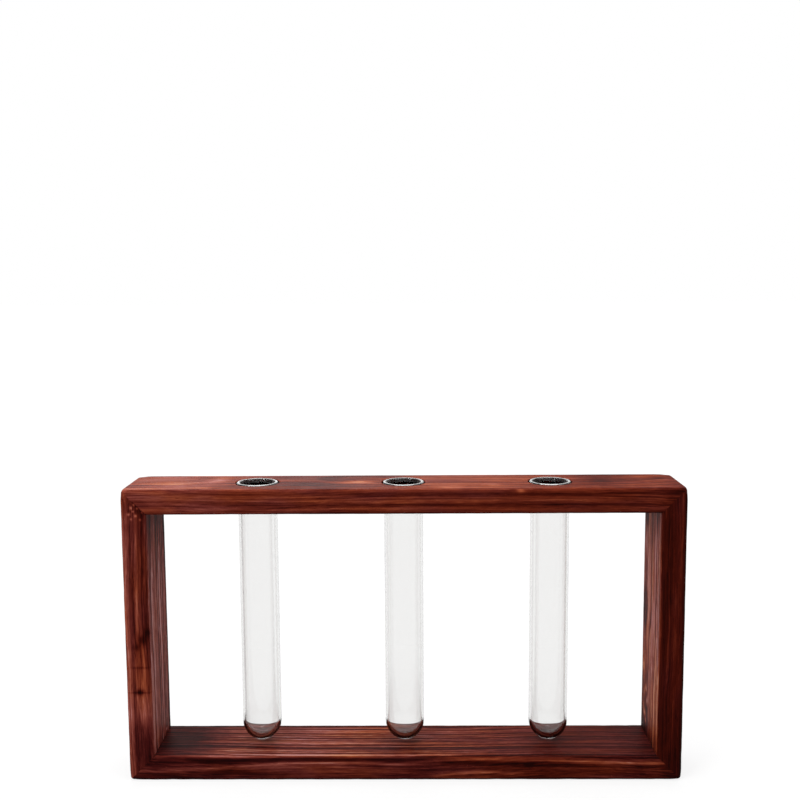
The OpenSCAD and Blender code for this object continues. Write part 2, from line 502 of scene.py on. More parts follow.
LEFT_GRAIN = Grain(
    pith=(-34, -26), ring=4.2, waves=[(0.7, 170, 1.1), (0.3, 71, 0.2), (0.08, 29, 2.4)],
    knots=[(-31.5, FRONT, 7.6, 8, 4, 1.6)],
    edge=[
        (-82, 72), (-76, 78), (-60, 79), (-52, 72), (-44, 51), (-30, 54), (-10, 58), (50, 56), (66, 61),
        (74, 70), (82, 58),
    ],
    outer=[(-82, 60), (0, 50), (82, 55)],
    inner=[
        (-82, 95), (-76, 85), (-60, 57), (-20, 47), (20, 46), (40, 54), (50, 65), (58, 78), (68, 90),
        (82, 95),
    ],
    patches=[
        (2.6, FRONT, 12.6, 2.6, 3, 1.9, 30), (-1.4, FRONT, 9.6, 2.8, 3, 2.3, 34),
        (-5.4, FRONT, 6.8, 2.2, 3, 1.8, 24), (-17.2, FRONT, 8, 0.7, 2, 5, 18),
        (-31.2, FRONT, 7.4, 1.8, 3, 2.4, 50), (-31.5, FRONT, 7.6, 0.5, 3, 6, 20),
        (74, FRONT, 9.5, 5, 3, 4, 16), (72.8, FRONT, 6.0, 1.0, 1.5, 0.8, -60),
        (69.2, FRONT, 4.6, 0.9, 1.5, 0.9, -50), (70.4, FRONT, 11.9, 0.8, 1.5, 0.7, -50),
        (74.6, FRONT, 7.6, 0.8, 1.5, 0.6, -50), (72.5, FRONT, 9.4, 0.7, 1.5, 0.7, -50),
        (68.4, FRONT, 8.4, 0.8, 1.5, 0.7, -46), (66.6, FRONT, 5.8, 0.8, 1.5, 0.6, -40),
        (70.8, FRONT, 7.0, 0.6, 1.5, 0.6, -46), (66.2, FRONT, 10.8, 0.7, 1.5, 0.6, -40),
        (-66, 10, 14, 0.9, 2, 2, -60),
    ],
    front_streaks=[
        (1.4, (-80, 1.6, -22), (-60, 1.6, -20), (-30, 1.6, -16), (0, 1.6, -17), (30, 1.8, -17),
         (45, 1.8, -8), (80, 2, -6)),
        (1.2, (-20, 5, 0), (10, 5.4, 12), (40, 5, 16), (66, 5, 10), (80, 5, 0)),
        (0.7, (0, 7, 0), (14, 7.4, -24), (24, 7.6, -20), (34, 7.6, 0)),
        (2.2, (-80, 11, 14), (-58, 12, 14), (-48, 12.6, 2), (-10, 12.4, 10), (40, 11, 20), (80, 11, 20)),
        (1.1, (-52, 9, 0), (-45, 9, -14), (-25, 10, -16), (-8, 10.4, -10), (4, 10, 0)),
        (0.6, (-40, 6, 0), (-25, 6.4, -16), (-10, 6, -12), (0, 6, 0)),
        (1.6, (-80, 3.6, -10), (-66, 3.4, -12), (-50, 3.4, -5), (-40, 3.4, 0)),
        (0.6, (-70, 13.2, -10), (-58, 13.3, -16), (-48, 13.3, 0)),
    ],
    inner_streaks=[
        (2.4, (-70, -14, -10), (0, -14, -12), (60, -14, -6)),
        (1.1, (-10, -6.3, 0), (20, -6.3, -14), (52, -6.3, -20), (66, -6.3, -36), (76, -6.3, -30)),
        (1.6, (-80, 0, 10), (80, 0, 10)),
        (2.0, (-80, 5, -6), (0, 5, -12), (60, 5, -10)),
        (1.8, (-80, 11.5, 12), (80, 11.5, 12)),
        (1.2, (-80, 15.5, -6), (80, 15.5, -6)),
        # Painted shade along the back edge of the inner face
        (2.0, (-80, 20.5, 25), (80, 20.5, 25)),
    ],
    wax=[(0, 8)],
    inner_wax=4, joints=(1, 16), rings=(0.12, 0.3, 0.95), fibres=(0.95, 1.0, 1.8), seed=23.0,
    cast=[(-82, 64), (-40, 60), (20, 56), (82, 50)],
    inner_cast=[(-82, 76), (0, 72), (82, 66)],
)

RIGHT_GRAIN = Grain(
    pith=(14, 58), ring=2.6, waves=[(0.6, 190, 0.6), (0.3, 77, 1.7), (0.08, 27, 0.1)],
    knots=[(-12, 2, 14, 14, 6, 1.0)],
    edge=[(-82, 90), (-60, 92), (-45, 90), (-30, 86), (40, 88), (70, 90), (82, 88)],
    outer=[(-82, 80), (0, 72), (82, 80)],
    inner=[
        (-82, 95), (-68.5, 90), (-64, 70), (-58, 54), (-50, 42), (-20, 42), (10, 44), (40, 47), (60, 54),
        (70, 66), (78, 90), (82, 95),
    ],
    patches=[
        (-30.3, 16, 14, 3.4, 2, 2, -50), (-41.8, 9.2, 14, 2.4, 1.7, 2, -70),
        (-47.4, 5.6, 14, 3.2, 1.6, 2, -75), (-44.5, 12.6, 14, 3, 0.9, 2, -30),
        (-57, 11.6, 14, 2.2, 2.2, 2, -70), (-60.6, 9, 14, 1.8, 1.6, 2, -60),
        (-54, 15, 14, 2.4, 1.2, 2, -35), (-52.5, 6, 14, 1.6, 2.6, 2, 20), (70, 16, 14, 14, 6, 3, 20),
        (74, FRONT, 7, 12, 4, 9, -5),
    ],
    front_streaks=[
        (2.6, (-45, 5, 0), (-20, 5, -8), (30, 4.6, -10), (70, 4.4, -6), (82, 4, 0)),
        # Painted shade: a dark line along the outer front edge, on the side away from the key light
        (0.8, (-82, 0.4, 20), (82, 0.4, 20)),
        (0.3, (-80, 3, -8), (-45, 3.2, 0)),
        (0.3, (-80, 6, -10), (-40, 6.2, 0)),
        (0.3, (-80, 9, -8), (-50, 9.2, 0)),
    ],
    inner_streaks=[
        (1.5, (20, -8, -5), (36, -8, -24), (50, -8, -28), (62, -8, -10)),
        (1.5, (0, -0.6, 10), (70, -0.6, 14)),
        (1.2, (20, -13.6, 6), (70, -13.6, 10)),
        (2.2, (-80, 6, -4), (60, 6, -10)),
        (7.5, (-80, 14, 30), (-45, 14, 30), (-18, 14.5, 16), (10, 15, 6), (80, 15, 6)),
        (7.0, (-78, -8, 0), (-60, -8, -12), (-20, -8, -14), (5, -8, -10), (20, -8, 0)),
        (1.4, (-10, -2, 0), (4, -2, -10), (16, -2, -8), (24, -2, 0)),
        (1.2, (-56, -8, 0), (-50, 0, 25), (-42, 12, 25), (-38, 20, 20), (-34, 21, 0)),
    ],
    wax=[(0, 6)],
    inner_wax=7, joints=(1, 0), rings=(0.05, 0.24, 0.7), fibres=(0.55, 1.0, 1.7), seed=37.0,
    cast=[(-82, 50), (0, 44), (82, 34)],
    inner_cast=[(-82, 46), (-40, 46), (0, 60), (82, 66)],
)

BOARDS = [
    Board("top_board", "x", HEIGHT, -1, WIDTH, 0, TOP_GRAIN),
    Board("bottom_board", "x", 0, 1, WIDTH, 0, BOTTOM_GRAIN),
    Board("left_board", "z", -HALF_W, 1, HEIGHT, HALF_H, LEFT_GRAIN),
    Board("right_board", "z", HALF_W, -1, HEIGHT, HALF_H, RIGHT_GRAIN),
]


def spaced(pieces):
    """Points through each (start, end, step), no further apart than its step."""
    points = [pieces[0][0]]
    for start, end, step in pieces:
        count = math.ceil((end - start) / step - 1e-6)
        points += [start + (end - start) * (i + 1) / count for i in range(count)]
    return np.array(points)


def joined(marks, step, finer=()):
    """Spans between neighbouring marks, at step, or at the step that finer gives for a span's middle."""
    spans = []
    for start, end in zip(marks, marks[1:]):
        middle = (start + end) / 2
        steps = [fine for low, high, fine in finer if low <= middle <= high]
        spans.append((start, end, min(steps, default=step)))
    return spaced(spans)


def ring_quads(rows, around, skipped=()):
    """Quads between neighbouring closed rings of points, apart from those that are skipped."""
    return [
        (i * around + j, i * around + k, (i + 1) * around + k, (i + 1) * around + j)
        for i in range(rows - 1)
        for j, k in zip(range(around), [*range(1, around), 0])
        if (i, j) not in skipped
    ]


def nearest(line, value):
    """The place in a line of numbers of the one nearest to value."""
    return int(np.argmin(np.abs(line - value)))


class Timber:
    """The mesh of one board: rings of points along it, holes, recesses and closed ends."""

    POINT_STEP = 0.45  # between the points of a ring
    STATION_STEP = 2.0  # between rings
    HOLE_STEP = 1.2  # the same beside a hole
    CORNER_STEP = 0.35  # and at the frame's corners
    RECESS_STEPS = 6  # between a recess's middle and its border
    TURN_POINTS = 4  # on each sanded edge
    BORDER_PARTS = (0.3, 0.58, 0.8, 0.93)  # how round the rings between an opening's border and its rim are
    SKEW = 26.0  # the length at each end over which the rings lean into the mitre
    MITRE_GAP = 0.012  # how far each end stays short of the joint's plane
    MITRE_FADE = 2.5  # how near to the mitre the relief fades
    PLANED = 0.03  # how far in from the true surface the board is at the mitre
    DENTS = 16  # on each board

    def __init__(self, board, settings, holes, recesses):
        self.board = board
        self.settings = settings
        self.arris = settings.arris / MM
        top, bottom = settings.corner_top / MM, settings.corner_bottom / MM
        ends = {"top_board": (top, top), "bottom_board": (bottom, bottom)}
        self.corners = ends.get(board.name, (bottom, top))
        self.half = board.length / 2
        low_turn, high_turn = -self.half + self.corners[0], self.half - self.corners[1]
        along = {-self.half, self.half, low_turn, high_turn}
        across = {FRONT + self.arris, HALF_D - self.arris}
        for s, p, reach, _ in holes + recesses:
            along |= {round(s - reach, 6), round(s + reach, 6)}
            across |= {round(p - reach, 6), round(p + reach, 6)}
        finer = [(s - reach, s + reach, reach / self.RECESS_STEPS) for s, _, reach, _ in recesses]
        finer += [(s - reach, s + reach, self.HOLE_STEP) for s, _, reach, _ in holes]
        finer += [(high_turn, self.half, self.CORNER_STEP), (-self.half, low_turn, self.CORNER_STEP)]
        self.flat = joined(sorted(across), self.POINT_STEP)
        self.stations = joined(sorted(along), self.STATION_STEP, finer)
        outline = self.outline()
        self.ring = len(outline)
        self.side = self.ring // 2 - len(self.flat)
        s, p, v = self.lay(self.stations[:, None], outline[None, :, 0], outline[None, :, 1])
        self.points = [np.stack([s, p, v], axis=-1).reshape(-1, 3)]
        self.count = s.size
        skipped = set()
        for opening in holes + recesses:
            skipped |= self.covered(opening, "outer")
        for opening in holes:
            skipped |= self.covered(opening, "inner")
        self.faces = ring_quads(len(self.stations), self.ring, skipped)
        self.close_end(0)
        self.close_end(len(self.stations) - 1)
        for opening in holes:
            self.bore(opening, through=True)
        for opening in recesses:
            self.bore(opening, through=False)

    def outline(self):
        """Points round the board: outer face, back edge, inner face and front edge, with their arrises."""
        arris, low, high = self.arris, self.arris, THICK - self.arris
        wide = HALF_D - arris
        turn = np.linspace(0, math.pi / 2, self.TURN_POINTS + 2)[1:-1]
        edge = spaced([(low, high, self.POINT_STEP)])
        sin, cos = arris * np.sin(turn), arris * np.cos(turn)
        parts = [
            (self.flat, np.zeros_like(self.flat)),
            (wide + sin, low - cos),
            (np.full_like(edge, wide + arris), edge),
            (wide + cos, high + sin),
            (self.flat[::-1], np.full_like(self.flat, THICK)),
            (-wide - sin, high + cos),
            (np.full_like(edge, -wide - arris), edge[::-1]),
            (-wide - cos, low - sin),
        ]
        return np.concatenate([np.stack(part, axis=-1) for part in parts])

    def lay(self, t, p, v):
        """Board coordinates of a point at station t: rounded over the corner, leaning into the mitre."""
        t, p, v = np.broadcast_arrays(t, p, v)
        straight = self.half - self.SKEW
        distance = np.abs(t)
        corner = np.where(t < 0, *self.corners)
        x = distance.copy()
        # Each round brings x closer to where the rounding and the lean agree
        for _ in range(24):
            past = np.clip(x - (self.half - corner), 0, corner)
            top = corner - np.sqrt(np.maximum(corner**2 - past**2, 0))
            inside = top + (1 - top / THICK) * v
            reach = self.half - inside - self.MITRE_GAP
            aim = straight + (distance - straight) * (reach - straight) / (self.half - straight)
            x = np.where(distance > straight, (x + aim) / 2, distance)
        return np.sign(t) * x, p, inside

    def at(self, i, j):
        """Index of ring point j at station i."""
        return i * self.ring + j

    def on_face(self, face, k):
        """Ring point of flat point k, on the outer or the inner face."""
        return k if face == "outer" else 2 * len(self.flat) - 1 + self.side - k

    def spans(self, opening):
        """First and last station, and first and last flat point, round an opening."""
        s, p, reach, _ = opening
        across = nearest(self.flat, p - reach), nearest(self.flat, p + reach)
        return nearest(self.stations, s - reach), nearest(self.stations, s + reach), *across

    def covered(self, opening, face):
        """Quads that an opening takes out of a face."""
        i0, i1, k0, k1 = self.spans(opening)
        taken = range(k0, k1) if face == "outer" else range(k0 + 1, k1 + 1)
        return {(i, self.on_face(face, k)) for i in range(i0, i1) for k in taken}

    def border(self, opening, face):
        """Indices round an opening on a face, and the angle at which each meets the round hole."""
        i0, i1, k0, k1 = self.spans(opening)
        s, p, reach, _ = opening
        ds, dp = (self.stations - s) / reach, (self.flat - p) / reach
        walk = [(i, k0, 225 + 45 * (ds[i] + 1)) for i in range(i0, i1)]
        walk += [(i1, k, 315 + 45 * (dp[k] + 1)) for k in range(k0, k1)]
        walk += [(i, k1, 45 + 45 * (1 - ds[i])) for i in range(i1, i0, -1)]
        walk += [(i0, k, 135 + 45 * (1 - dp[k])) for k in range(k1, k0, -1)]
        ids = [self.at(i, self.on_face(face, k)) for i, k, _ in walk]
        return ids, np.radians([turn for *_, turn in walk])

    def add_points(self, where):
        """Adds points and gives their indices."""
        self.points.append(where)
        self.count += len(where)
        return list(range(self.count - len(where), self.count))

    def bore(self, opening, through):
        """A round opening: even quads from its square border to its rim, then down its wall."""
        s, p, _, wall = opening
        last, angles = self.border(opening, "outer")
        grid = np.concatenate(self.points)
        cos, sin = np.cos(angles), np.sin(angles)

        def circle(radius, depth):
            return np.stack([s + radius * cos, p + radius * sin, np.full_like(cos, depth)], axis=-1)

        def border_rings(ids, radius, depth):
            start, goal = grid[ids], circle(radius, depth)
            return [start + (goal - start) * part for part in self.BORDER_PARTS]

        rings = border_rings(last, *wall[0]) + [circle(radius, depth) for radius, depth in wall]
        if through:
            far, _ = self.border(opening, "inner")
            rings += reversed(border_rings(far, *wall[-1]))
        for where in rings:
            new = self.add_points(where)
            self.bridge(last, new)
            last = new
        if through:
            self.bridge(last, far)
        else:
            centre = self.add_points(np.array([[s, p, wall[-1][1] + 0.1]]))[0]
            self.faces += [(b, a, centre) for a, b in zip(last, last[1:] + last[:1])]

    def bridge(self, first, second):
        """Quads between two closed rings of as many points."""
        pairs = list(zip(first, second))
        self.faces += [(b, a, c, d) for (a, c), (b, d) in zip(pairs, pairs[1:] + pairs[:1])]

    def close_end(self, i):
        """Fills a mitred end with strips between the outer and the inner face."""
        order = [self.at(i, j) for j in range(self.ring)]
        flats = len(self.flat)
        upper, back = order[:flats], order[flats:flats + self.side]
        lower = order[flats + self.side:2 * flats + self.side][::-1]
        front = order[2 * flats + self.side:]
        made = [(upper[a], upper[a + 1], lower[a + 1], lower[a]) for a in range(flats - 1)]
        made += [(upper[-1], *back, lower[-1]), (lower[0], *front, upper[0])]
        self.faces += [face[::-1] for face in made] if i == 0 else made

    def mesh(self):
        """The finished mesh, with its surface worked by the grain."""
        places = self.eased(np.concatenate(self.points))
        made = mesh_from(self.board.name, places, self.faces)
        normals = np.zeros(len(places) * 3)
        made.vertices.foreach_get("normal", normals)
        normals = normals.reshape(-1, 3)
        # Points of the mitres stay in their plane, so that the joint is a hairline
        last = self.at(len(self.stations) - 1, 0)
        for rim in (slice(0, self.ring), slice(last, last + self.ring)):
            end = np.array([np.sign(places[rim, 0].mean()), 0, 1]) / math.sqrt(2)
            flat = normals[rim] - (normals[rim] @ end)[:, None] * end
            normals[rim] = flat / np.maximum(np.linalg.norm(flat, axis=1), 0.3)[:, None]
        worked = places + normals * -self.relief(places)[:, None]
        made.vertices.foreach_set("co", (self.board.placed(*worked.T) * MM).ravel())
        if self.board.sign * (1 if self.board.along == "z" else -1) > 0:
            made.flip_normals()
        made.update()
        return made

    def eased(self, places):
        """The points where three edges of the frame meet are sanded down, most at the upper back."""
        s, p, v = places.T
        upper = {"top_board": s * 0 + 1, "bottom_board": s * 0}.get(self.board.name, (s > 0) * 1.0)
        from_corner = np.hypot(self.half - np.abs(s), v)
        from_face = HALF_D - np.abs(p)
        amount = np.where(p < 0, 0.45 + 0.25 * upper, 0.7 + 0.5 * upper)
        amount = amount * np.exp(-((from_corner / 4) ** 2) - (from_face / 3) ** 2)
        return np.stack([s - np.sign(s) * amount * 0.6, p - np.sign(p) * amount, v + amount * 0.6], axis=-1)

    def relief(self, places):
        """How far in from the true surface each point lies, in millimetres."""
        s, p, v = places.T
        grain, seed = self.board.grain, self.board.grain.seed
        ridge = 0.5 - 0.5 * np.cos(2 * math.pi * ring_count(s, p, v, grain))
        patchy = 0.55 + 0.45 * np.sin(s / 17 + seed) * np.sin(p / 6.1 + v / 4.3 + seed * 2)
        depth = self.settings.grain_depth / MM * (ridge * patchy + 0.25)
        # The sanded edges are worn here and there
        over_edge = np.maximum(np.abs(p) - (HALF_D - self.arris), 0)
        over_face = np.maximum(self.arris - np.minimum(v, THICK - v), 0)
        on_arris = 2 * over_edge * over_face / self.arris**2
        side = np.sign(p) * 2 + np.sign(v - THICK / 2)
        worn = 0.5 + 0.5 * np.sin(s / 7.3 + seed + side) * np.sin(s / 2.9 + seed * 3)
        depth = depth + 0.16 * on_arris * worn**2
        dice = np.random.default_rng(int(seed))
        for _ in range(self.DENTS):
            spot = [
                dice.uniform(-self.half + 8, self.half - 8), dice.choice([-1, 1]) * HALF_D,
                dice.choice([0, THICK]),
            ]
            size, deep = dice.uniform(0.7, 1.8), dice.uniform(0.08, 0.3)
            away = np.sum(((places - spot) / [size * 1.6, size, size]) ** 2, axis=1)
            depth = depth + deep * np.exp(-away)
        # Both boards are planed level where they meet
        from_mitre = np.clip(((self.half - np.abs(s)) - v) / self.MITRE_FADE, 0, 1)
        return self.PLANED + (depth - self.PLANED) * from_mitre**2 * (3 - 2 * from_mitre)


def mesh_from(name, places, faces):
    """A closed mesh of points and faces, shaded smooth."""
    made = bpy.data.meshes.new(name)
    made.from_pydata([tuple(place) for place in places], [], faces)
    if made.validate():
        raise RuntimeError(f"{name} has faulty faces")
    made.polygons.foreach_set("use_smooth", [True] * len(made.polygons))
    made.update()
    return made


def stain_colours(settings):
    """Stops of the stain, from rubbed to nearly black."""
    shades = {0.0: "rubbed", 0.28: "light", 0.55: "middle", 0.78: "dark", 1.0: "black"}
    return [(place, tuple(getattr(settings, f"stain_{shade}"))) for place, shade in shades.items()]


def streak_tone(net, span, board_length, across, streaks):
    """Tone of soft streaks that run along the board, each with its own path and width. A ramp holds the
    path in red, as a part of the reach, and the tone in green, both round a half."""
    reach = 60
    total = 0.0
    for width, *path in streaks:
        stops = [
            (at / board_length + 0.5, (place / reach + 0.5, tone / 200 + 0.5, 0))
            for at, place, tone in path
        ]
        red, green, _ = net.ramp(span, stops, "B_SPLINE").parts("ShaderNodeSeparateColor")
        off = (across - (red - 0.5) * reach) / width
        total = bell(off * off) * (green * 2 - 1) + total
    return total


def stained_wood(board, settings):
    """Brushed softwood under a dark red-brown stain, cut as the board's grain says."""
    material = bpy.data.materials.new(f"stained_wood_{board.name}")
    net = Net(material)
    grain, arris = board.grain, settings.arris / MM
    s, p, v = board.own(*net.millimetres().parts())
    stray = wander(s, grain)
    flow = net.combine(s, p + stray * SIDE_STRAY, v + stray)
    place = net.combine(s, p, v)

    def noises(where, *rows):
        """A noise for each (scale along, scale across, detail, roughness, shift)."""
        return [
            net.noise(where, (along, across, across), detail, roughness, grain.seed + shift)
            for along, across, detail, roughness, shift in rows
        ]

    fibre, fine, mottle, thread, dash = noises(
        flow, (0.009, 0.85, 3, 0.6, 0), (0.03, 3.4, 2, 0.6, 5), (0.14, 1.2, 3, 0.62, 40),
        (0.005, 0.5, 2, 0.5, 50), (0.16, 3.6, 1, 0.5, 21),
    )
    blotch, hue, grit, sway = noises(
        place, (0.02, 0.1, 3, 0.55, 9), (0.025, 0.14, 2, 0.5, 14), (1.3, 1.5, 2, 0.5, 27),
        (0.03, 0, 2, 0.5, 33),
    )

    # Growth rings, whose late wood is a hard line after a slow change
    ring = fraction(ring_count(s, p, v, grain))
    late = ring**2.2 * (1 - net.step(ring, 0.86, 1.0))

    # The stain's tone on each face, along the board
    span = s / board.length + 0.5

    def along_board(stops):
        """What the grain gives in percent along the board."""
        return net.ramp(span, [(at / board.length + 0.5, value / 100) for at, value in stops])

    on_edge = net.step(abs(p), HALF_D - arris, HALF_D - arris * 0.25)
    on_front = net.step(-p, HALF_D - arris, HALF_D - arris * 0.25)
    inward = net.step(v, THICK * 0.25, THICK * 0.75)
    inner, outer = inward * (1 - on_edge), (1 - inward) * (1 - on_edge)
    # The inner tone holds painted shade in the frame's inner corners
    tone = along_board(grain.outer) * outer + along_board(grain.inner) * inner
    tone = tone + along_board(grain.edge) * on_edge
    swayed = (sway - 0.5) * 1.4
    for mask, across, streaks in ((on_front, v, grain.front_streaks), (inner, p, grain.inner_streaks)):
        tone = tone + mask * streak_tone(net, span, board.length, across + swayed, streaks) * 1.3
    vivid = inner * along_board(grain.vivid)
    rings = on_edge * grain.rings[0] + outer * grain.rings[1] + vivid * grain.rings[2]
    fibres = on_edge * grain.fibres[0] + outer * grain.fibres[1] + vivid * grain.fibres[2]
    dark_lines = 1 - net.step(abs(thread - 0.5), 0.004, 0.03)
    pale_lines = 1 - net.step(abs(thread - 0.59), 0.004, 0.025)
    lines = dark_lines * 0.09 - pale_lines * 0.11
    grown = (fibre - 0.5) * 0.7 + (fine - 0.5) * 0.34 + (mottle - 0.5) * 0.5 + lines
    tone = tone + (late - 0.3) * rings + grown * fibres + (blotch - 0.5) * 0.36 + lines * on_edge * 0.3
    for *centre, reach, wide, high, amount in grain.patches:
        away = net.vector("SUBTRACT", place, Vector(centre))
        scaled = net.vector("MULTIPLY", away, Vector((1 / reach, 1 / wide, 1 / high)))
        tone = tone + bell(net.vector("DOT_PRODUCT", scaled, scaled, output="Value")) * (amount / 100)

    # Painted shade: the walls of the holes are made nearly black, as they lie in shadow
    bore = 0.0
    if board.name == "top_board":
        from_tube = net.maths("MINIMUM", abs(s), abs(abs(s) - TUBE_PLACES["tube_right"]))
        from_axis = root(from_tube * from_tube + p * p)
        bore = 1 - net.step(from_axis, settings.hole / MM + 0.4, settings.hole / MM + 1.5)
        tone = tone + bore * 0.9

    # Open grain, drying cracks and each mitre's line are darker; the back edges get painted shade
    cracks = net.step(dash, 0.68, 0.73) * 0.2
    to_mitre = (board.length / 2 - abs(s)) - v
    mitre = (1 - net.step(to_mitre + (grit - 0.5) * 0.5, 0.1, 0.8)) * net.step(v, 5.0, 8.0)
    low_joint, high_joint = grain.joints
    tone = tone + cracks + mitre * net.ramp(span, [(0.4, low_joint / 100), (0.6, high_joint / 100)])
    # Painted shade along the back edges, which face away from the key light
    tone = tone + net.step(p, HALF_D - arris * 1.3, HALF_D - arris * 0.5) * 0.22

    # Edges rubbed by hands and sanding are lighter
    over_edge = net.maths("MAXIMUM", abs(p) - (HALF_D - arris), 0.0)
    over_face = net.maths("MAXIMUM", arris - net.maths("MINIMUM", v, THICK - v), 0.0)
    arris_mask = net.step(over_edge * over_face * (2 / arris**2), 0.25, 0.9)
    rubbed = arris_mask * net.step(blotch + (fibre - 0.5) * 0.5, 0.4, 0.66)
    fleck = net.step(grit, 0.735, 0.77) * net.step(hue, 0.46, 0.6)
    tone = tone - rubbed * 0.16 - fleck * 0.3

    stain = net.ramp(tone.clamped(), stain_colours(settings))
    cast = hue - 0.5 + along_board(grain.cast) * (1 - inner) + along_board(grain.inner_cast) * inner
    cast = cast + outer * 0.06
    plum = net.mix(1.0, stain, (0.94, 1.1, 1.9, 1), "MULTIPLY")
    orange = net.mix(1.0, stain, (1.1, 1.0, 0.6, 1), "MULTIPLY")
    tinted = net.mix(net.step(cast, 0.44, 0.72) * 0.6, stain, plum)
    tinted = net.mix((1 - net.step(cast, 0.3, 0.54)) * 0.6, tinted, orange)

    # Wax shines most where a hand or a cloth goes over it
    wax = outer * along_board(grain.wax) + inner * (grain.inner_wax / 100)
    wax = wax * (0.7 + (blotch - 0.5) * 1.2) + rubbed * 0.04 - cracks * 0.3 - bore
    rough = 0.6 + (fibre - 0.5) * 0.3 + (grit - 0.5) * 0.12 - rubbed * 0.1 + cracks * 0.3
    height = late * 0.35 + fibre * 0.5 + fine * 0.35 - cracks * 1.6 + grit * 0.1
    net.finish(net.node(
        "ShaderNodeBsdfPrincipled", base_color=tinted, roughness=rough.clamped(),
        normal=net.bump(height, 0.35, 0.0002), specular_ior_level=0.015, coat_weight=wax.clamped(),
        coat_roughness=0.38,
    ))
    return material


def board_openings(board, settings):
    """Holes for the tubes and recesses for pin heads: (s, p, half of the square round it, wall)."""
    if board.name == "top_board":
        hole, sink = settings.hole / MM, settings.sink / MM
        wall = [(hole + sink + 0.22, 0.0), (hole + sink + 0.07, 0.05), (hole + sink - 0.07, 0.17)]
        wall += [(hole + sink * (1 - part), sink * part) for part in (0.4, 0.7, 0.96)]
        wall += [(hole, depth) for depth in np.linspace(sink + 0.12, THICK - 0.72, 9)]
        wall += [(hole + 0.03, THICK - 0.58), (hole + 0.45, THICK - 0.14), (hole + 0.62, THICK)]
        return [(place, 0.0, 15.0, wall) for place in TUBE_PLACES.values()], []
    if board.along == "z":
        wall = [(1.42, 0.0), (1.3, 0.06), (1.25, 0.2), (1.25, 0.9), (0.8, 1.55)]
        from_end = board.length / 2 - PIN_LEVEL
        spots = [(end * from_end, side * PIN_ACROSS) for end in (-1, 1) for side in (-1, 1)]
        return [], [(s, p, 3.0, wall) for s, p in spots]
    return [], []


def add_object(name, mesh, material, body, replaced):
    """Links a mesh to the scene as a piece that rides on a body and stands for a CAD node."""
    mesh.materials.append(material)
    made = bpy.data.objects.new(name, mesh)
    bpy.context.scene.collection.objects.link(made)
    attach(made, body)
    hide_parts(replaced)


class TUBEVASE_OT_boards(bpy.types.Operator):
    """Makes the four mitred boards, with their holes, recesses and stained surface"""

    bl_idname = "tube_vase.boards"
    bl_label = "Boards"

    def execute(self, context):
        settings = context.scene.tube_vase_boards
        for board in BOARDS:
            mesh = Timber(board, settings, *board_openings(board, settings)).mesh()
            mesh.set_sharp_from_angle(angle=math.radians(52))
            wood = stained_wood(board, settings)
            add_object(f"{board.name}_timber", mesh, wood, "frame", board.name)
        return {"FINISHED"}


# Tubes


def tube_profile(settings):
    """Outer and inner outline of a tube from its lowest point, as (radius, height) in millimetres."""
    radius, tall = settings.radius / MM, TUBE_HIGH.z - TUBE_LOW.z
    bead_out = (TUBE_HIGH.x - TUBE_LOW.x) / 2 - radius
    bead = (radius - BORE_R + bead_out) / 2
    bottom = settings.bottom / MM
    turn = np.linspace(0, math.pi / 2, 26)
    outer = [(radius * math.sin(a), radius - radius * math.cos(a)) for a in turn]
    outer += [(radius, z) for z in np.linspace(radius, tall - bead * 2 - 1.0, 46)[1:]]
    foot = tall - bead * 2 - 0.7
    outer += [(radius + 0.02, foot), (radius + 0.07, foot + 0.32), (radius + 0.17, foot + 0.58)]
    outer += [
        (BORE_R + bead + bead * math.cos(a), tall - bead + bead * math.sin(a))
        for a in np.linspace(math.radians(-42), math.pi, 22)
    ]
    inner = [(BORE_R, z) for z in np.linspace(tall - bead, bottom + BORE_R, 47)[1:]]
    inner += [(BORE_R * math.cos(a), bottom + BORE_R - BORE_R * math.sin(a)) for a in turn[1:]]
    return np.array(outer + inner)


def tube_mesh(name, centre, settings, seed):
    """A drawn glass tube with a round end below and a fire-polished bead above."""
    around = 144
    profile = tube_profile(settings)
    rings = profile[1:-1]
    turn = np.linspace(0, 2 * math.pi, around, endpoint=False)[None, :]
    radius, height = rings[:, :1], rings[:, 1:]
    sway = 0.5 + 0.5 * np.sin(2 * turn + height / 31 + seed) * np.sin(height / 13 + seed * 2)
    lines = 0.5 + 0.5 * np.sin(7 * turn + seed * 3 + height / 90)
    within = radius - settings.waver / MM * (sway + 0.35 * lines) * np.clip(radius / 4, 0, 1)
    z = np.broadcast_to(height, within.shape)
    places = np.stack([within * np.cos(turn), within * np.sin(turn), z], axis=-1).reshape(-1, 3)
    places = np.concatenate([places, [[0, 0, profile[0, 1]], [0, 0, profile[-1, 1]]]])
    faces = ring_quads(len(rings), around)
    low, high = len(places) - 2, len(places) - 1
    last = (len(rings) - 1) * around
    for j in range(around):
        k = (j + 1) % around
        faces += [(low, k, j), (high, last + j, last + k)]
    return mesh_from(name, (places + [centre, 0, TUBE_LOW.z]) * MM, faces)


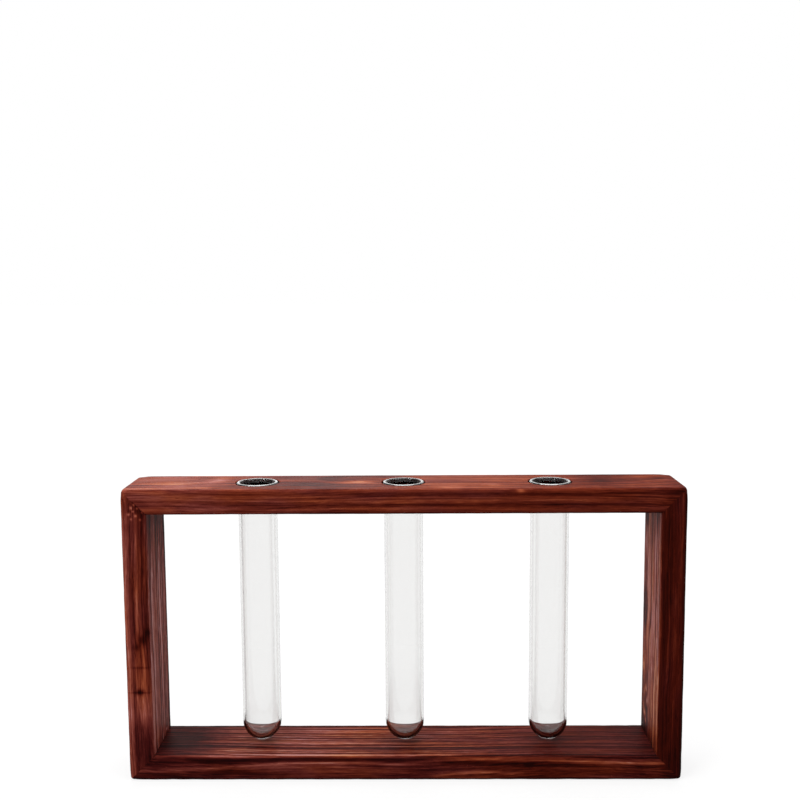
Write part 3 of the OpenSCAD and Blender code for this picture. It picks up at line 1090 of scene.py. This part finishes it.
def clear_glass(settings):
    """Clear drawn glass with faint draw lines, dust and dried water marks, with painted shade where
    it is seen edge on and a painted highlight on top of the bead.
    """
    material = bpy.data.materials.new("clear_glass")
    net = Net(material)
    in_mm = net.millimetres()
    ripple = net.noise(in_mm, (0.35, 0.35, 0.02), 1.0, shift=2)
    dust = net.noise(in_mm, (1.6, 1.6, 1.6), 2.0, 0.6, shift=8)
    film = net.noise(in_mm, (0.06, 0.06, 0.04), shift=15)
    marks = net.step(dust, 0.68, 0.74) * net.step(film, 0.45, 0.65)
    rough = 0.004 + marks * 0.22 + net.step(film, 0.5, 0.8) * 0.02
    # Painted shade where the glass is seen edge on
    facing = net.node("ShaderNodeLayerWeight", output="Facing", blend=0.5)
    tint = net.mix(net.step(facing, 0.5, 0.68) * 0.6, (*settings.tint, 1), (*settings.edge, 1))
    clear = net.node(
        "ShaderNodeBsdfPrincipled", base_color=tint, roughness=rough, ior=settings.ior,
        transmission_weight=1.0, normal=net.bump(ripple, 0.12, 0.00012),
    )
    # A thin band of opaque white on top of the bead is a painted highlight
    painted_bead_highlight = net.node(
        "ShaderNodeBsdfPrincipled", base_color=(*settings.rim, 1), roughness=0.3, ior=settings.ior,
    )
    rim = net.step(in_mm.parts()[2], TUBE_HIGH.z - 0.3, TUBE_HIGH.z - 0.03) * 0.42
    net.finish(net.node("ShaderNodeMixShader", fac=rim, n1=clear, n2=painted_bead_highlight))
    return material


class TUBEVASE_OT_tubes(bpy.types.Operator):
    """Makes the three glass tubes"""

    bl_idname = "tube_vase.tubes"
    bl_label = "Tubes"

    def execute(self, context):
        settings = context.scene.tube_vase_tubes
        glass = clear_glass(settings)
        for seed, (name, centre) in enumerate(TUBE_PLACES.items()):
            mesh = tube_mesh(name, centre, settings, seed + 1.0)
            add_object(f"{name}_glass", mesh, glass, TUBE_BODIES[name], name)
        return {"FINISHED"}


# Pins


def pin_steel(settings):
    """Dull drawn wire: turned rings and hammer dimples on the head, and spots of tarnish."""
    material = bpy.data.materials.new("pin_steel")
    net = Net(material)
    in_mm = net.millimetres()
    _, y, z = in_mm.parts()
    across = abs(y) - PIN_ACROSS
    up = net.maths("MINIMUM", abs(z - PIN_LEVEL), abs(z - (HEIGHT - PIN_LEVEL)))
    turned = sine(root(across * across + up * up) * 38) * 0.5 + 0.5
    dimple = net.noise(in_mm, (1.4, 1.4, 1.4), shift=4)
    spots = net.noise(in_mm, (3.1, 3.1, 3.1), 3.0, 0.65, shift=12)
    tarnish = net.step(spots, 0.5, 0.68)
    net.finish(net.node(
        "ShaderNodeBsdfPrincipled", metallic=1.0, roughness=0.34 + turned * 0.08 + tarnish * 0.35,
        base_color=net.mix(tarnish * 0.8, (*settings.steel, 1), (*settings.tarnish, 1)),
        normal=net.bump(turned * 0.3 + dimple + spots * 0.4, 0.6, 0.00006),
    ))
    return material


class TUBEVASE_OT_pins(bpy.types.Operator):
    """Gives the panel pins their steel"""

    bl_idname = "tube_vase.pins"
    bl_label = "Pins"

    def execute(self, context):
        steel = pin_steel(context.scene.tube_vase_pins)
        pins = [node for name, node in frame["nodes"].items() if name.startswith("pin_")]
        if len(pins) != PIN_COUNT:
            raise RuntimeError(f"the packed model should have {PIN_COUNT} pins")
        for node in pins:
            node.data.materials.clear()
            node.data.materials.append(steel)
        return {"FINISHED"}


# Stage


def set_camera(scene, settings):
    data = bpy.data.cameras.new("photo_camera")
    data.lens = settings.lens
    data.sensor_width = 36
    camera = bpy.data.objects.new("photo_camera", data)
    turned = Matrix.Rotation(settings.camera_turn, 4, "Z") @ Matrix.Rotation(settings.camera_pitch, 4, "X")
    turned = turned @ Matrix.Rotation(settings.camera_roll, 4, "Z")
    camera.matrix_world = Matrix.Translation(Vector(settings.camera_place)) @ turned
    scene.collection.objects.link(camera)
    scene.camera = camera


def add_softbox(name, place, size, power):
    """A square light that lights the vase and shines in its gloss, but isn't seen through the glass."""
    data = bpy.data.lights.new(name, "AREA")
    data.shape = "SQUARE"
    data.size = size
    data.energy = power
    light = bpy.data.objects.new(name, data)
    light.location = place
    light.rotation_mode = "QUATERNION"
    aim = Vector((0, 0, HEIGHT / 2 * MM))
    light.rotation_quaternion = (aim - Vector(place)).to_track_quat("-Z", "Y")
    light.visible_camera = False
    light.visible_transmission = False
    bpy.context.scene.collection.objects.link(light)


def seen_directly(net):
    """1 for the camera's rays, and 1 for rays that show the background by way of gloss or glass."""
    camera, glossy, through = (
        net.node("ShaderNodeLightPath", output=f"Is {kind} Ray")
        for kind in ("Camera", "Glossy", "Transmission")
    )
    return camera, net.maths("MAXIMUM", glossy, through)


def set_world(scene, settings):
    """White to the camera; to gloss and glass, a white backdrop with dimmer sides; else even light."""
    world = bpy.data.worlds.new("studio")
    scene.world = world
    net = Net(world)
    _, facing, _ = net.node("ShaderNodeTexCoord", output="Generated").parts()
    shown = 0.38 + net.step(abs(facing), 0.12, 0.62) * 0.62
    camera, indirect = seen_directly(net)
    level = camera + (1 - camera) * (indirect * shown + (1 - indirect) * settings.ambient)
    shader = net.node("ShaderNodeBackground", color=(1, 1, 1, 1), strength=level)
    net.finish(shader, "ShaderNodeOutputWorld")


def add_floor(scene):
    """A plain pale floor that keeps the vase's soft shadow and fades to white round it."""
    reach = 12.0
    mesh = bpy.data.meshes.new("floor")
    corners = [(-reach, -reach, 0), (reach, -reach, 0), (reach, reach, 0), (-reach, reach, 0)]
    mesh.from_pydata(corners, [], [(0, 1, 2, 3)])
    material = bpy.data.materials.new("pale_floor")
    mesh.materials.append(material)
    net = Net(material)
    scaled = net.vector("MULTIPLY", net.node("ShaderNodeTexCoord", output="Object"), Vector((2.6, 5.0, 0)))
    away = net.vector("LENGTH", scaled, output="Value")
    plain = net.node("ShaderNodeBsdfDiffuse", color=(0.45, 0.45, 0.45, 1))
    shadowed = net.node("ShaderNodeBsdfDiffuse", color=(0.93, 0.93, 0.93, 1))
    white = net.node("ShaderNodeEmission", color=(1, 1, 1, 1), strength=1.06)
    faded = 0.74 + net.step(away, 0.45, 1.0) * 0.26
    shown = net.node("ShaderNodeMixShader", fac=faded, n1=shadowed, n2=white)
    direct = net.maths("MAXIMUM", *seen_directly(net))
    net.finish(net.node("ShaderNodeMixShader", fac=direct, n1=plain, n2=shown))
    floor = bpy.data.objects.new("floor", mesh)
    scene.collection.objects.link(floor)


class TUBEVASE_OT_stage(bpy.types.Operator):
    """Sets the camera, the lights, the world and the floor"""

    bl_idname = "tube_vase.stage"
    bl_label = "Stage"

    def execute(self, context):
        scene, settings = context.scene, context.scene.tube_vase_stage
        scene.view_settings.view_transform = "Standard"
        set_camera(scene, settings)
        add_softbox("key_light", (-0.62, -0.62, 0.72), 0.55, settings.key_power)
        add_softbox("top_light", (0.05, 0.12, 0.95), 0.75, settings.top_power)
        add_softbox("fill_light", (0.85, -0.55, 0.35), 0.6, settings.fill_power)
        add_softbox("back_light", (-0.35, 1.0, 0.4), 0.6, settings.back_power)
        set_world(scene, settings)
        add_floor(scene)
        return {"FINISHED"}


# Panel and registration

STEPS = [
    (TUBEVASE_OT_boards, "tube_vase_boards", BoardSettings),
    (TUBEVASE_OT_tubes, "tube_vase_tubes", TubeSettings),
    (TUBEVASE_OT_pins, "tube_vase_pins", PinSettings),
    (TUBEVASE_OT_stage, "tube_vase_stage", StageSettings),
]


class TUBEVASE_PT_sidebar(bpy.types.Panel):
    """Lists what builds the vase"""

    bl_idname = "TUBEVASE_PT_sidebar"
    bl_label = "Tube Vase"
    bl_space_type = "VIEW_3D"
    bl_region_type = "UI"
    bl_category = "Tube Vase"

    def draw(self, context):
        for operator, name, _ in STEPS:
            column = self.layout.box().column()
            column.operator(operator.bl_idname)
            group = getattr(context.scene, name)
            for setting in group.__annotations__:
                column.prop(group, setting)


def register():
    for operator, name, group in STEPS:
        bpy.utils.register_class(group)
        setattr(bpy.types.Scene, name, PointerProperty(type=group))
        bpy.utils.register_class(operator)
    bpy.utils.register_class(TUBEVASE_PT_sidebar)


def unregister():
    bpy.utils.unregister_class(TUBEVASE_PT_sidebar)
    for operator, name, group in reversed(STEPS):
        bpy.utils.unregister_class(operator)
        delattr(bpy.types.Scene, name)
        bpy.utils.unregister_class(group)


def main():
    register()
    bpy.ops.tube_vase.boards()
    bpy.ops.tube_vase.tubes()
    bpy.ops.tube_vase.pins()
    bpy.ops.tube_vase.stage()


if __name__ == "__main__":
    main()
